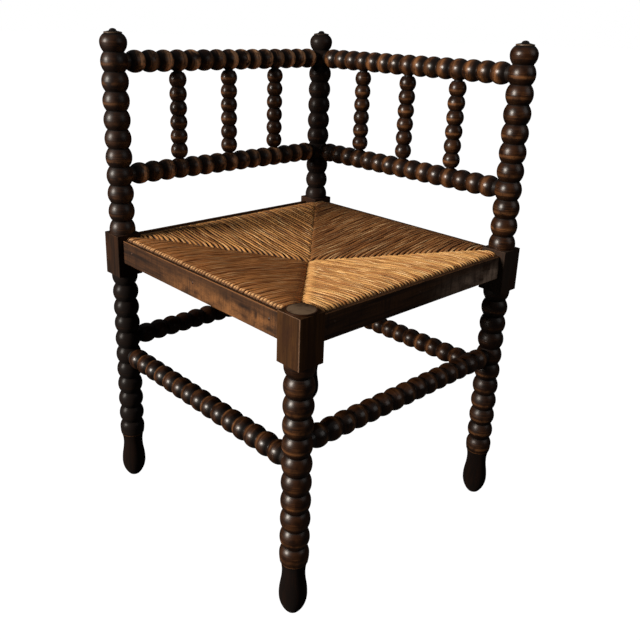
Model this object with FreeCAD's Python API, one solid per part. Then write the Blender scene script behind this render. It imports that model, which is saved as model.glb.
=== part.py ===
import FreeCAD, Part
import math
import os

# Corner chair in turned oak with a rush seat, in millimetres. +Z is up, with the origin on the floor under the
# seat's centre. The square seat stands on four ball-turned posts. The front post stops at the seat. The other
# three carry two backs, each of a top rail, a lower rail and three spindles.

# Plan
post_spacing = 430.0

# Posts: square blocks at the seat, everything else turned from the same stock
stock_side = 42.0
stock_edge_radius = 1.2
post_ball_diameter = 41.2
post_groove_diameter = 30.8
post_ball_pitch = 28.95
post_ball_count = 9
leg_ball_diameter = 41.4
leg_groove_diameter = 31.2
leg_ball_pitch = 28.3
leg_ball_count = 9
block_height = 68.5
neck_height = 18.7
base_height = 20.6
collar_diameter = 40.2
collar_height = 2.2
collar_groove_width = 0.8
collar_groove_depth = 1.5
cap_crown = 0.9

# Club foot, measured up from the floor
foot_height = 108.4
foot_pad_diameter = 19.0
foot_swell_diameter = 40.0
foot_swell_height = 28.0
foot_waist_diameter = 32.6
foot_waist_height = 66.0
foot_ring_diameter = 37.6
foot_ring_height = 83.0
foot_ring_step = 0.7
foot_ball_height = 96.5

# Finial: a flattened ball under a sharp-edged disc with a small button
finial_ball_rise = 13.95
finial_disc_rise = 12.8
finial_disc_diameter = 27.4
finial_disc_edge = 1.9
finial_disc_lip = 0.5
finial_cone_rise = 1.7
finial_button_foot_diameter = 12.0
finial_button_diameter = 8.8
finial_button_height = 2.4
finial_button_crown = 1.2

# Back rails and stretchers
rail_ball_count = 15
rail_ball_diameter = 34.6
rail_groove_diameter = 24.8
stretcher_ball_diameter = 33.4
stretcher_groove_diameter = 24.0
rail_neck_length = 1.4
rail_tenon_diameter = 14.0
rail_tenon_length = 12.0
top_rail_ball = 1
lower_rail_ball = 7
upper_stretcher_ball = 4
lower_stretcher_ball = 5

# Spindles
spindle_count = 3
spindle_ball_count = 6
spindle_ball_diameter = 28.2
spindle_groove_diameter = 18.6
spindle_neck_diameter = 14.0
spindle_neck_length = 0.8
spindle_tenon_diameter = 9.0
spindle_tenon_length = 10.0

# Seat rails, hidden under the rush
seat_rail_width = 20.0
seat_rail_height = 30.0
seat_rail_edge_radius = 4.0
seat_tenon_width = 9.0
seat_tenon_height = 20.0
seat_tenon_length = 14.0

# Rush seat
rush_wrap = 6.5
rush_crown_drop = 1.5
rush_shoulder_radius = 12.0
rush_heel_radius = 8.0
rush_sag = 35.5
rush_belly = 9.0

# Edging strips nailed over the rush
strip_height = 37.5
strip_thickness = 5.0
strip_setback = 9.1
strip_top_drop = 7.8
strip_edge_radius = 1.6
nail_count = 3
nail_diameter = 1.8
nail_length = 22.0
nail_head_diameter = 4.2
nail_head_height = 0.8
nail_end_distance = 26.0

# Fits
glue_gap = 0.15
tenon_end_gap = 0.5
mitre_gap = 0.3
shoulder_gap = 0.1
butt_gap = 0.2
rush_gap = 0.3
nail_gap = 0.1

# Levels and offsets that follow from the sizes above
half_spacing = post_spacing / 2.0
half_stock = stock_side / 2.0
leg_top_z = foot_height + leg_ball_count * leg_ball_pitch
block_bottom_z = leg_top_z + neck_height
block_top_z = block_bottom_z + block_height
base_top_z = block_top_z + base_height
finial_bottom_z = base_top_z + post_ball_count * post_ball_pitch
top_rail_z = finial_bottom_z - (top_rail_ball - 0.5) * post_ball_pitch
lower_rail_z = finial_bottom_z - (lower_rail_ball - 0.5) * post_ball_pitch
upper_stretcher_z = leg_top_z - (upper_stretcher_ball - 0.5) * leg_ball_pitch
lower_stretcher_z = leg_top_z - (lower_stretcher_ball - 0.5) * leg_ball_pitch
strip_outer = half_stock - strip_setback
strip_top_z = block_top_z - strip_top_drop
rush_outer = strip_outer - strip_thickness - rush_gap
rush_top_z = block_top_z - rush_crown_drop
seat_rail_outer = rush_outer - rush_wrap
seat_rail_top_z = rush_top_z - rush_wrap
seat_rail_middle_z = seat_rail_top_z - seat_rail_height / 2.0
rush_bottom_z = seat_rail_top_z - seat_rail_height - rush_wrap

UP = FreeCAD.Vector(0, 0, 1)
AHEAD = FreeCAD.Vector(0, 1, 0)
OUT = FreeCAD.Vector(1, 0, 0)
ORIGIN = FreeCAD.Vector(0, 0, 0)


class Corner:
    """A post's place in the plan, with the name of the corner of the seat that it stands at."""

    def __init__(self, name, side_x, side_y):
        self.name = name
        self.foot = FreeCAD.Vector(side_x * half_spacing, side_y * half_spacing, 0)

    def moved(self, shape):
        return shape.translated(self.foot)


class Side:
    """One side of the seat. In its own frame X points out of the chair and Y from its first post to its second."""

    def __init__(self, name, first, second):
        self.name = name
        self.first = first
        self.second = second
        along = (second.foot - first.foot).normalize()
        turn = FreeCAD.Rotation(along.cross(UP), along, UP, "ZXY")
        self.placement = FreeCAD.Placement(first.foot, turn)

    def placed(self, shape):
        return shape.transformed(self.placement.toMatrix())


front = Corner("front", -1, -1)
right = Corner("right", 1, -1)
back = Corner("back", 1, 1)
left = Corner("left", -1, 1)

front_right = Side("front_right", front, right)
back_right = Side("back_right", right, back)
back_left = Side("back_left", back, left)
front_left = Side("front_left", left, front)
seat_sides = [front_right, back_right, back_left, front_left]
back_sides = {"left": back_left, "right": back_right}


def outline(start, steps):
    """Edges in the XZ plane. A step of two numbers is a line to that point and one of four is an arc."""
    edges = []
    here = FreeCAD.Vector(start[0], 0, start[1])
    for step in steps:
        there = FreeCAD.Vector(step[-2], 0, step[-1])
        if len(step) == 2:
            edges.append(Part.LineSegment(here, there).toShape())
        else:
            through = FreeCAD.Vector(step[0], 0, step[1])
            edges.append(Part.Arc(here, through, there).toShape())
        here = there
    return edges


def section(start, steps):
    """The flat face inside a closed outline."""
    return Part.Face(Part.Wire(outline(start, steps + [start])))


def turned(bottom, steps):
    """The solid that a lathe cuts to an outline of radius and height, from its bottom on the Z axis up."""
    radius, top = steps[-1][-2:]
    square_end = [(0.0, top)] if radius > 0.0 else []
    return section((0.0, bottom), steps + square_end).revolve(ORIGIN, -UP, 360)


def upright_arc(upright, other, ends_upright):
    """The step for an arc that runs parallel to the axis at one end, written towards its far end."""
    across = other[0] - upright[0]
    rise = other[1] - upright[1]
    radius = (across ** 2 + rise ** 2) / (2.0 * abs(across))
    half_turn = math.asin(abs(rise) / radius) / 2.0
    middle_x = upright[0] + math.copysign(radius * (1.0 - math.cos(half_turn)), across)
    middle_z = upright[1] + math.copysign(radius * math.sin(half_turn), rise)
    end = upright if ends_upright else other
    return (middle_x, middle_z, end[0], end[1])


def ogee(start, end):
    """Two arcs that leave the start and reach the end parallel to the axis."""
    middle = ((start[0] + end[0]) / 2.0, (start[1] + end[1]) / 2.0)
    return [upright_arc(start, middle, False), upright_arc(end, middle, True)]


def level_arc(level, other, ends_level):
    """The step for an arc that runs square to the axis at one end, written towards its far end."""
    middle_z, middle_x, end_z, end_x = upright_arc(level[::-1], other[::-1], ends_level)
    return (middle_x, middle_z, end_x, end_z)


def level_ogee(start, end):
    """Two arcs that leave the start and reach the end square to the axis."""
    middle = ((start[0] + end[0]) / 2.0, (start[1] + end[1]) / 2.0)
    return [level_arc(start, middle, False), level_arc(end, middle, True)]


def dome(rim, rise):
    """The step for a spherical cap that closes an outline over its rim."""
    return level_arc((0.0, rim[1] + rise), rim, True)


def ball_run(count, pitch, ball_diameter, groove_diameter, bottom):
    """Outline steps up a run of balls, from the groove below the first to the groove above the last."""
    groove = groove_diameter / 2.0
    steps = []
    for index in range(count):
        low = bottom + index * pitch
        equator = (ball_diameter / 2.0, low + pitch / 2.0)
        steps.append(upright_arc(equator, (groove, low), True))
        steps.append(upright_arc(equator, (groove, low + pitch), False))
    return steps


def coping_ball(ball_diameter, groove_diameter, pitch, centre):
    """One ball of a run grown by the shoulder gap, which copes a shoulder to sit on that ball."""
    low = centre - pitch / 2.0
    grown = 2.0 * shoulder_gap
    run = ball_run(1, pitch, ball_diameter + grown, groove_diameter + grown, low)
    return turned(low, [((groove_diameter + grown) / 2.0, low)] + run)


def lying(shape):
    """A shape turned about Z, laid along a side so that its height is the distance from the first post."""
    return shape.rotated(ORIGIN, OUT, -90)


def cleared(shape, cutters):
    return shape.cut(cutters).Solids[0]


def joined(shape, others):
    return shape.fuse(others).removeSplitter().Solids[0]


def rail_pitch(post_diameter):
    """Pitch of the balls that fill a rail or stretcher between its necks."""
    return (post_spacing - post_diameter - 2.0 * rail_neck_length) / rail_ball_count


def between_mitres(gap):
    """The part of the plan that belongs to one side's tenons, so that two tenons in a post can't meet."""
    corners = [
        FreeCAD.Vector(0, gap, 0),
        FreeCAD.Vector(half_spacing - gap, half_spacing, 0),
        FreeCAD.Vector(0, post_spacing - gap, 0),
        FreeCAD.Vector(gap - half_spacing, half_spacing, 0),
    ]
    face = Part.Face(Part.makePolygon(corners + corners[:1]))
    return face.extrude(UP * (finial_bottom_z + finial_ball_rise))


def leg_outline():
    """The club foot, the leg's balls and the half ball under the block."""
    groove = leg_groove_diameter / 2.0
    ball = leg_ball_diameter / 2.0
    pad = (foot_pad_diameter / 2.0, 0.0)
    swell = (foot_swell_diameter / 2.0, foot_swell_height)
    waist = (foot_waist_diameter / 2.0, foot_waist_height)
    ring = (foot_ring_diameter / 2.0, foot_ring_height)
    ring_out = (ring[0] + foot_ring_step, ring[1] + foot_ring_step)
    foot_ball = (ball, foot_ball_height)
    shoulder = (ball, leg_top_z + leg_ball_pitch / 2.0)
    steps = [pad, upright_arc(swell, pad, True)]
    steps += ogee(swell, waist)
    steps += [upright_arc(waist, ring, False), ring_out, upright_arc(foot_ball, ring_out, True)]
    steps += [upright_arc(foot_ball, (groove, foot_height), False)]
    steps += ball_run(leg_ball_count, leg_ball_pitch, leg_ball_diameter, leg_groove_diameter, foot_height)
    steps += [upright_arc(shoulder, (groove, leg_top_z), True), (ball, block_bottom_z)]
    return steps


def collar_outline():
    """The thin disc that the lathe leaves on top of the block."""
    collar = collar_diameter / 2.0
    return [(collar, block_top_z), (collar, block_top_z + collar_height)]


def upper_outline():
    """The half ball on the block's collar, the post's balls and the finial."""
    ball = post_ball_diameter / 2.0
    groove = post_groove_diameter / 2.0
    collar_top = block_top_z + collar_height
    groove_floor = collar_diameter / 2.0 - collar_groove_depth
    drum_bottom = collar_top + collar_groove_width
    shoulder = (ball, base_top_z - post_ball_pitch / 2.0)
    equator = (ball, finial_bottom_z + finial_ball_rise)
    disc = finial_disc_diameter / 2.0
    disc_z = equator[1] + finial_disc_rise
    disc_top_z = disc_z + finial_disc_edge
    cone_top_z = disc_top_z + finial_cone_rise
    steps = [(groove_floor, collar_top), (groove_floor, drum_bottom), (ball, drum_bottom), shoulder]
    steps += [upright_arc(shoulder, (groove, base_top_z), False)]
    steps += ball_run(post_ball_count, post_ball_pitch, post_ball_diameter, post_groove_diameter, base_top_z)
    steps += [upright_arc(equator, (groove, finial_bottom_z), True)]
    steps += [upright_arc(equator, (disc - finial_disc_lip, disc_z), False)]
    steps += [(disc, disc_z), (disc, disc_top_z), (finial_button_foot_diameter / 2.0, cone_top_z)]
    button = (finial_button_diameter / 2.0, cone_top_z + finial_button_height)
    return steps + [button, dome(button, finial_button_crown)]


def rail_bore(height, post_diameter):
    """The blind bore in a post for a rail's round tenon, along the first half of a side."""
    reach = post_diameter / 2.0 - rail_tenon_length - tenon_end_gap
    radius = rail_tenon_diameter / 2.0 + glue_gap
    return Part.makeCylinder(radius, half_stock - reach, FreeCAD.Vector(0, reach, height), AHEAD)


def seat_mortise():
    """The pocket in a block for a seat rail's tenon, along the first half of a side."""
    width = seat_tenon_width + 2.0 * glue_gap
    height = seat_tenon_height + 2.0 * glue_gap
    depth = seat_tenon_length + tenon_end_gap
    middle = seat_rail_outer - seat_rail_width / 2.0
    low = FreeCAD.Vector(middle - width / 2.0, half_stock - depth, seat_rail_middle_z - height / 2.0)
    return Part.makeBox(width, 2.0 * depth, height, low)


def mirrored(shape):
    """The same shape at the other end of its side."""
    return shape.mirror(FreeCAD.Vector(0, half_spacing, 0), AHEAD)


def stretcher_height(side):
    """Two stretchers lie one ball below the other two, so that no two tenons meet in a leg."""
    return lower_stretcher_z if side in (front_left, back_right) else upper_stretcher_z


def post_bores(corner):
    """Every mortise in one post, for the two sides of the seat that meet at it."""
    bores = []
    for side in seat_sides:
        if corner not in (side.first, side.second):
            continue
        wanted = [seat_mortise(), rail_bore(stretcher_height(side), leg_ball_diameter)]
        if side in back_sides.values():
            wanted += [rail_bore(top_rail_z, post_ball_diameter), rail_bore(lower_rail_z, post_ball_diameter)]
        for bore in wanted:
            bores.append(side.placed(bore if corner is side.first else mirrored(bore)))
    return bores


def post_blank(above_block):
    """One length of stock: turned leg, square block and whatever the lathe left above it."""
    core = leg_groove_diameter / 2.0
    through_block = [(core, block_bottom_z), (core, block_top_z)]
    turning = turned(0.0, leg_outline() + through_block + above_block)
    block = Part.makeBox(stock_side, stock_side, block_height)
    block.translate(FreeCAD.Vector(-half_stock, -half_stock, block_bottom_z))
    arrises = [edge for edge in block.Edges if abs(edge.tangentAt(edge.FirstParameter).z) > 0.5]
    return joined(block.makeFillet(stock_edge_radius, arrises), [turning])


def tall_post(corner):
    blank = post_blank(collar_outline() + upper_outline())
    return cleared(corner.moved(blank), post_bores(corner))


def short_post(corner):
    """The front post, which ends in a low domed cap on its block."""
    collar = collar_outline()
    return cleared(corner.moved(post_blank(collar + [dome(collar[-1], cap_crown)])), post_bores(corner))


def turned_rail(ball_diameter, groove_diameter, post_ball, post_groove, post_pitch, height):
    """A rail of balls with its ends coped to sit on the posts' balls and round tenons that go into them."""
    neck = groove_diameter / 2.0
    run_start = post_ball / 2.0 + rail_neck_length
    steps = [(neck, 0.0), (neck, run_start)]
    steps += ball_run(rail_ball_count, rail_pitch(post_ball), ball_diameter, groove_diameter, run_start)
    steps += [(neck, post_spacing)]
    blank = lying(turned(0.0, steps)).translated(UP * height)
    seat = coping_ball(post_ball, post_groove, post_pitch, height)
    rail = cleared(blank, [seat, mirrored(seat)])
    reach = post_ball / 2.0 - rail_tenon_length
    tenon_length = rail_tenon_length + rail_neck_length
    tenon = Part.makeCylinder(rail_tenon_diameter / 2.0, tenon_length, FreeCAD.Vector(0, reach, height), AHEAD)
    tenon = tenon.common(between_mitres(mitre_gap))
    return joined(rail, [tenon, mirrored(tenon)])


def spindle_places():
    """Distances from the first post's axis of the rail balls that the spindles stand on."""
    pitch = rail_pitch(post_ball_diameter)
    first = post_ball_diameter / 2.0 + rail_neck_length
    places = []
    for index in range(spindle_count):
        ball = round((index + 1) * (rail_ball_count + 1) / (spindle_count + 1))
        places.append(first + (ball - 0.5) * pitch)
    return places


def back_rail(side, height, spindles_above):
    """A back rail with blind bores for the spindles on its inner edge."""
    rail = turned_rail(rail_ball_diameter, rail_groove_diameter, post_ball_diameter, post_groove_diameter,
                       post_ball_pitch, height)
    facing = UP if spindles_above else -UP
    depth = spindle_tenon_length + tenon_end_gap
    radius = spindle_tenon_diameter / 2.0 + glue_gap
    bores = []
    for place in spindle_places():
        start = FreeCAD.Vector(0, place, height) + facing * (rail_ball_diameter / 2.0 - depth)
        bores.append(Part.makeCylinder(radius, 2.0 * depth, start, facing))
    return side.placed(cleared(rail, bores))


def stretcher(side):
    rail = turned_rail(stretcher_ball_diameter, stretcher_groove_diameter, leg_ball_diameter, leg_groove_diameter,
                       leg_ball_pitch, stretcher_height(side))
    return side.placed(rail)


def spindle(side, place):
    """Six balls between the rails of a back, coped to both and tenoned into them."""
    low = lower_rail_z + rail_ball_diameter / 2.0
    high = top_rail_z - rail_ball_diameter / 2.0
    neck = spindle_neck_diameter / 2.0
    groove = spindle_groove_diameter / 2.0
    pitch = (high - low - 2.0 * spindle_neck_length) / spindle_ball_count
    run_start = low + spindle_neck_length
    run_end = high - spindle_neck_length
    steps = [(neck, lower_rail_z), (neck, run_start), (groove, run_start)]
    steps += ball_run(spindle_ball_count, pitch, spindle_ball_diameter, spindle_groove_diameter, run_start)
    steps += [(neck, run_end), (neck, top_rail_z)]
    body = turned(lower_rail_z, steps)
    seats = []
    for height in (lower_rail_z, top_rail_z):
        ball = coping_ball(rail_ball_diameter, rail_groove_diameter, rail_pitch(post_ball_diameter), 0.0)
        seats.append(lying(ball).translated(UP * height))
    body = cleared(body, seats)
    tenon_low = low - spindle_tenon_length
    tenon_high = high + spindle_tenon_length
    core = Part.makeCylinder(spindle_tenon_diameter / 2.0, tenon_high - tenon_low, UP * tenon_low, UP)
    return side.placed(joined(body, [core]).translated(AHEAD * place))


def seat_rail_bar(growth):
    """The rounded bar of a seat rail between the blocks, grown by a gap for the space that it takes."""
    length = post_spacing - stock_side - 2.0 * butt_gap
    bar = Part.makeBox(seat_rail_width + 2.0 * growth, length, seat_rail_height + 2.0 * growth)
    low = FreeCAD.Vector(seat_rail_outer - seat_rail_width - growth, half_stock + butt_gap,
                         seat_rail_middle_z - seat_rail_height / 2.0 - growth)
    bar.translate(low)
    arrises = [edge for edge in bar.Edges if abs(edge.tangentAt(edge.FirstParameter).y) > 0.5]
    return bar.makeFillet(seat_rail_edge_radius + growth, arrises)


def seat_rail(side):
    """A seat rail with mitred tenons, since two of them meet inside each block."""
    middle = seat_rail_outer - seat_rail_width / 2.0
    low = FreeCAD.Vector(middle - seat_tenon_width / 2.0, half_stock - seat_tenon_length,
                         seat_rail_middle_z - seat_tenon_height / 2.0)
    tenon = Part.makeBox(seat_tenon_width, 2.0 * seat_tenon_length, seat_tenon_height, low)
    tenon = tenon.common(between_mitres(mitre_gap))
    rail = joined(seat_rail_bar(0.0), [tenon, mirrored(tenon)])
    return side.placed(cleared(rail, nail_bores()))


def nail_places():
    """Distances along a side at which a strip is nailed."""
    first = half_stock + nail_end_distance
    step = (post_spacing - 2.0 * first) / (nail_count - 1)
    return [first + index * step for index in range(nail_count)]


def nail_bores():
    """Holes for the nails of one strip, from outside the strip into the seat rail."""
    bores = []
    for place in nail_places():
        start = FreeCAD.Vector(strip_outer + nail_head_height, place, seat_rail_middle_z)
        depth = nail_length + nail_head_height + tenon_end_gap
        bores.append(Part.makeCylinder(nail_diameter / 2.0 + nail_gap, depth, start, -OUT))
    return bores


def nail(place):
    """A wire nail with a low domed head that stands on the strip."""
    shank = nail_diameter / 2.0
    rim = (nail_head_diameter / 2.0, 0.0)
    shape = turned(-nail_length, [(shank, -nail_length), (shank, 0.0), rim, dome(rim, nail_head_height)])
    shape.rotate(ORIGIN, AHEAD, 90)
    return shape.translated(FreeCAD.Vector(strip_outer, place, seat_rail_middle_z))


def edging_strip(side):
    """A thin board over the rush, butted between the blocks, with its two outer edges rounded."""
    length = post_spacing - stock_side - 2.0 * butt_gap
    low = FreeCAD.Vector(strip_outer - strip_thickness, half_stock + butt_gap, strip_top_z - strip_height)
    board = Part.makeBox(strip_thickness, length, strip_height, low)
    arrises = []
    for edge in board.Edges:
        on_outer_face = abs(edge.CenterOfMass.x - strip_outer) < strip_edge_radius / 2.0
        if on_outer_face and abs(edge.tangentAt(edge.FirstParameter).y) > 0.5:
            arrises.append(edge)
    board = board.makeFillet(strip_edge_radius, arrises)
    return side.placed(cleared(board, nail_bores()))


def rush_gore():
    """One triangle of the seat, from the strip to the seat's centre, mitred at both diagonals.

    The top falls straight from the shoulder to the centre, where the strands hang from rail to rail."""
    centre_top = (-half_spacing, rush_top_z - rush_sag)
    centre_bottom = (-half_spacing, rush_bottom_z - rush_belly)
    shoulder_x = rush_outer - rush_shoulder_radius
    shoulder_z = rush_top_z - rush_shoulder_radius
    reach_x = centre_top[0] - shoulder_x
    reach_z = centre_top[1] - shoulder_z
    tangent_angle = math.acos(rush_shoulder_radius / math.hypot(reach_x, reach_z))
    fall_angle = math.atan2(reach_z, reach_x) % math.tau - tangent_angle
    shoulder_angles = (fall_angle, fall_angle / 2.0, 0.0)
    shoulder = [
        (shoulder_x + rush_shoulder_radius * math.cos(angle), shoulder_z + rush_shoulder_radius * math.sin(angle))
        for angle in shoulder_angles
    ]
    heel_start = (rush_outer - rush_heel_radius, rush_bottom_z)
    heel_lift = rush_heel_radius * (1.0 - math.sqrt(0.5))
    heel_middle = (rush_outer - heel_lift, rush_bottom_z + heel_lift)
    steps = [
        shoulder[0],
        shoulder[1] + shoulder[2],
        (rush_outer, rush_bottom_z + rush_heel_radius),
        heel_middle + heel_start,
    ]
    steps += level_ogee(heel_start, centre_bottom)
    reach = 2.0 * half_stock
    start_y = FreeCAD.Vector(0, -reach, 0)
    slab = section(centre_top, steps).translated(start_y).extrude(AHEAD * (post_spacing + 2.0 * reach))
    triangle = [
        FreeCAD.Vector(-half_spacing, half_spacing, 0),
        FreeCAD.Vector(reach, -reach, 0),
        FreeCAD.Vector(reach, post_spacing + reach, 0),
    ]
    wedge = Part.Face(Part.makePolygon(triangle + triangle[:1])).extrude(UP * finial_bottom_z)
    return slab.common(wedge).Solids[0]


def rush_seat():
    """Four gores woven as one, notched round the blocks, with the seat rails inside."""
    gores = [side.placed(rush_gore()) for side in seat_sides]
    seat = joined(gores[0], gores[1:])
    notch_side = stock_side + 2.0 * rush_gap
    cutters = []
    for corner in (front, right, back, left):
        notch = Part.makeBox(notch_side, notch_side, finial_bottom_z)
        notch.translate(FreeCAD.Vector(-notch_side / 2.0, -notch_side / 2.0, 0))
        cutters.append(corner.moved(notch))
    for side in seat_sides:
        cutters.append(side.placed(seat_rail_bar(rush_gap)))
        cutters += [side.placed(bore) for bore in nail_bores()]
    return cleared(seat, cutters)


def build():
    """Every piece of the chair under its name."""
    pieces = {"front_post": short_post(front)}
    for corner in (left, right, back):
        pieces[corner.name + "_post"] = tall_post(corner)
    for side in seat_sides:
        pieces["seat_rail_" + side.name] = seat_rail(side)
        pieces["edging_strip_" + side.name] = edging_strip(side)
        pieces["stretcher_" + side.name] = stretcher(side)
    for name, side in back_sides.items():
        pieces["top_rail_" + name] = back_rail(side, top_rail_z, False)
        pieces["lower_rail_" + name] = back_rail(side, lower_rail_z, True)
        for number, place in enumerate(spindle_places(), 1):
            pieces["spindle_{}_{}".format(name, number)] = spindle(side, place)
    pieces["rush_seat"] = rush_seat()
    nails = [side.placed(nail(place)) for side in seat_sides for place in nail_places()]
    pieces["strip_nails"] = Part.makeCompound(nails)
    return pieces


os.makedirs("parts", exist_ok=True)
for piece_name, piece in build().items():
    piece.exportStep("parts/" + piece_name + ".step")
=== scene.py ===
import math
import random

import bpy
from mathutils import Matrix, Vector, noise


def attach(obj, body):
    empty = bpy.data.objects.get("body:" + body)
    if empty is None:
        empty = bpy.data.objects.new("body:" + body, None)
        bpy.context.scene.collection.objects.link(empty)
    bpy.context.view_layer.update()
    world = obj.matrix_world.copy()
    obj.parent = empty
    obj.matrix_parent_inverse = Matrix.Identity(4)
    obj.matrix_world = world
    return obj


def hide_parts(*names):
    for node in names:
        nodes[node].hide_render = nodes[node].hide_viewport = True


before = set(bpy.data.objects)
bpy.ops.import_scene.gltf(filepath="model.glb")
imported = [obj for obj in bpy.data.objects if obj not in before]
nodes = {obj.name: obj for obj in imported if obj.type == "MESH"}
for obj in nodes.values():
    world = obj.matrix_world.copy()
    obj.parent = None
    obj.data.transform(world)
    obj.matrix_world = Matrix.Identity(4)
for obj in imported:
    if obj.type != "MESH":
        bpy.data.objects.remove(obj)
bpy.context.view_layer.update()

scene = bpy.context.scene
scene.view_settings.view_transform = "Standard"
bpy.ops.object.select_all(action="DESELECT")


# Camera: it stands before the front post, a little left of it and level with the finials, and looks down on the
# seat. The picture's middle isn't the lens's, so the frame is shifted.
camera_place = Vector((-0.7810, -0.8232, 0.7873))
camera_ahead = Vector((0.6452, 0.6958, -0.3155)).normalized()
camera_roll = math.radians(-1.69)
camera_level = camera_ahead.cross(Vector((0, 0, 1))).normalized()
camera_down = camera_ahead.cross(camera_level)
camera_right = camera_level * math.cos(camera_roll) + camera_down * math.sin(camera_roll)
camera_up = camera_right.cross(camera_ahead)
camera = bpy.data.objects.new("camera", bpy.data.cameras.new("camera"))
scene.collection.objects.link(camera)
camera.matrix_world = Matrix.LocRotScale(
    camera_place, Matrix((camera_right, camera_up, -camera_ahead)).transposed().to_quaternion(), None
)
camera.data.sensor_fit = "HORIZONTAL"
camera.data.sensor_width = 36.0
camera.data.lens = 41.47
camera.data.shift_x = 0.0288
camera.data.shift_y = -0.0888
camera.data.clip_end = 200.0
scene.camera = camera


# Studio: a plain pale floor under a soft, bright surround. A tall window light stands far to the left. It faces
# the front left side and stands a little behind the line of the front right one, which it only skims.
light_target = Vector((0.0, 0.0, 0.45))


def studio_light(name, towards, distance, width, height, power, colour):
    """A soft rectangular light that stands in one direction from the seat and faces it."""
    panel = bpy.data.lights.new(name, "AREA")
    panel.shape = "RECTANGLE"
    panel.size = width
    panel.size_y = height
    panel.energy = power
    panel.color = colour
    light = bpy.data.objects.new(name, panel)
    scene.collection.objects.link(light)
    towards = Vector(towards).normalized()
    light.location = light_target + towards * distance
    light.rotation_euler = towards.to_track_quat("Z", "Y").to_euler()


studio_light(
    "window", (-0.928, 0.231, 0.292), distance=6.0, width=1.5, height=1.8, power=560.0, colour=(1.0, 0.93, 0.84)
)
studio_light("fill", (0.35, -0.9, 0.5), distance=3.0, width=1.6, height=1.6, power=9.0, colour=(1.0, 0.97, 0.94))

# The camera sees the surround plain white. What it throws on the chair is a dim glow, strongest from above.
surround = bpy.data.worlds.new("surround")
scene.world = surround
surround.use_nodes = True
tree = surround.node_tree
seen = tree.nodes.new("ShaderNodeLightPath")
seen_sky = tree.nodes.new("ShaderNodeMix")
seen_sky.data_type = "RGBA"
seen_sky.inputs["B"].default_value = (1.0, 1.0, 1.0, 1.0)
tree.links.new(seen.outputs["Is Camera Ray"], seen_sky.inputs["Factor"])
looking = tree.nodes.new("ShaderNodeTexCoord")
looking_up = tree.nodes.new("ShaderNodeSeparateXYZ")
sky_glow = tree.nodes.new("ShaderNodeMapRange")
for socket, value in (("From Min", 0.15), ("From Max", 1.0), ("To Min", 0.006), ("To Max", 0.14)):
    sky_glow.inputs[socket].default_value = value
sky_colour = tree.nodes.new("ShaderNodeCombineColor")
tree.links.new(looking.outputs["Generated"], looking_up.inputs["Vector"])
tree.links.new(looking_up.outputs["Z"], sky_glow.inputs["Value"])
for channel in ("Red", "Green", "Blue"):
    tree.links.new(sky_glow.outputs["Result"], sky_colour.inputs[channel])
tree.links.new(sky_colour.outputs["Color"], seen_sky.inputs["A"])
tree.links.new(seen_sky.outputs["Result"], tree.nodes["Background"].inputs["Color"])

# The floor is dark paint that throws little light back, and it glows just past white where the camera sees it.
floor_radius = 30.0
floor_glow_strength = 1.02
bpy.ops.mesh.primitive_circle_add(vertices=96, radius=floor_radius, fill_type="NGON", location=(0.0, 0.0, 0.0))
floor = bpy.context.active_object
floor.name = "floor"
floor_paint = bpy.data.materials.new("floor_paint")
floor_paint.use_nodes = True
floor.data.materials.append(floor_paint)
tree = floor_paint.node_tree
surface = tree.nodes["Principled BSDF"].inputs
surface["Base Color"].default_value = (0.03, 0.029, 0.028, 1.0)
surface["Roughness"].default_value = 0.9
surface["Emission Color"].default_value = (1.0, 1.0, 1.0, 1.0)
seen = tree.nodes.new("ShaderNodeLightPath")
floor_glow = tree.nodes.new("ShaderNodeMath")
floor_glow.operation = "MULTIPLY"
floor_glow.inputs[1].default_value = floor_glow_strength
tree.links.new(seen.outputs["Is Camera Ray"], floor_glow.inputs[0])
tree.links.new(floor_glow.outputs["Value"], surface["Emission Strength"])


# Posts: each is one length of square oak, planed flat at the seat and turned into balls above and below it, over
# a club foot. It is stained almost black and waxed. Handling has worn the stain thin round the balls, in fine
# rings that follow the lathe, and wax and dust have gathered in the grooves.
post_offset = 0.215
post_ball = 0.0206
post_groove = 0.0154
foot_ring_z = 0.0834
leg_first = 0.1084
leg_step = 0.0283
leg_last = 0.3631
block_bottom = 0.3818
block_top = 0.4503
block_half = 0.021
upper_first = 0.4709
upper_step = 0.02895
finial_bottom = 0.73145
disc_bottom = 0.7582
disc_top = 0.7601
cap_gap = 0.0004
cap_rim = 0.0175
deep_stain_and_shade = (0.0030, 0.0009, 0.0003, 1.0)
stain_dark = (0.0110, 0.0036, 0.0012, 1.0)
stain_brown = (0.0340, 0.0118, 0.0038, 1.0)
stain_worn = (0.2300, 0.0950, 0.0330, 1.0)
foot_red = (0.0085, 0.0024, 0.0006, 1.0)
# The cap's grey is also painted on the rim of each finial's top disc, as a highlight.
cap_grey = (0.185, 0.120, 0.073, 1.0)
arris_pale = (0.360, 0.215, 0.140, 1.0)

# A fade is where a finish starts and where it is full, both measured from the edge or line that it belongs to.
foot_fade = (0.0010, -0.0020)
wax_fade = (0.0, 0.0060)
ring_fade = (0.0011, 0.0003)
disc_bottom_fade = (0.0, 0.0006)
disc_top_fade = (0.0006, 0.0)
block_bottom_fade = (-0.0003, -0.0001)
block_top_fade = (0.0003, 0.0001)
arris_fade = (-0.0019, -0.0009)
face_fade = (0.0012, 0.0004)
rim_fade = (-0.0009, -0.0003)
cap_fade = (0.0, 0.0014)


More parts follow.
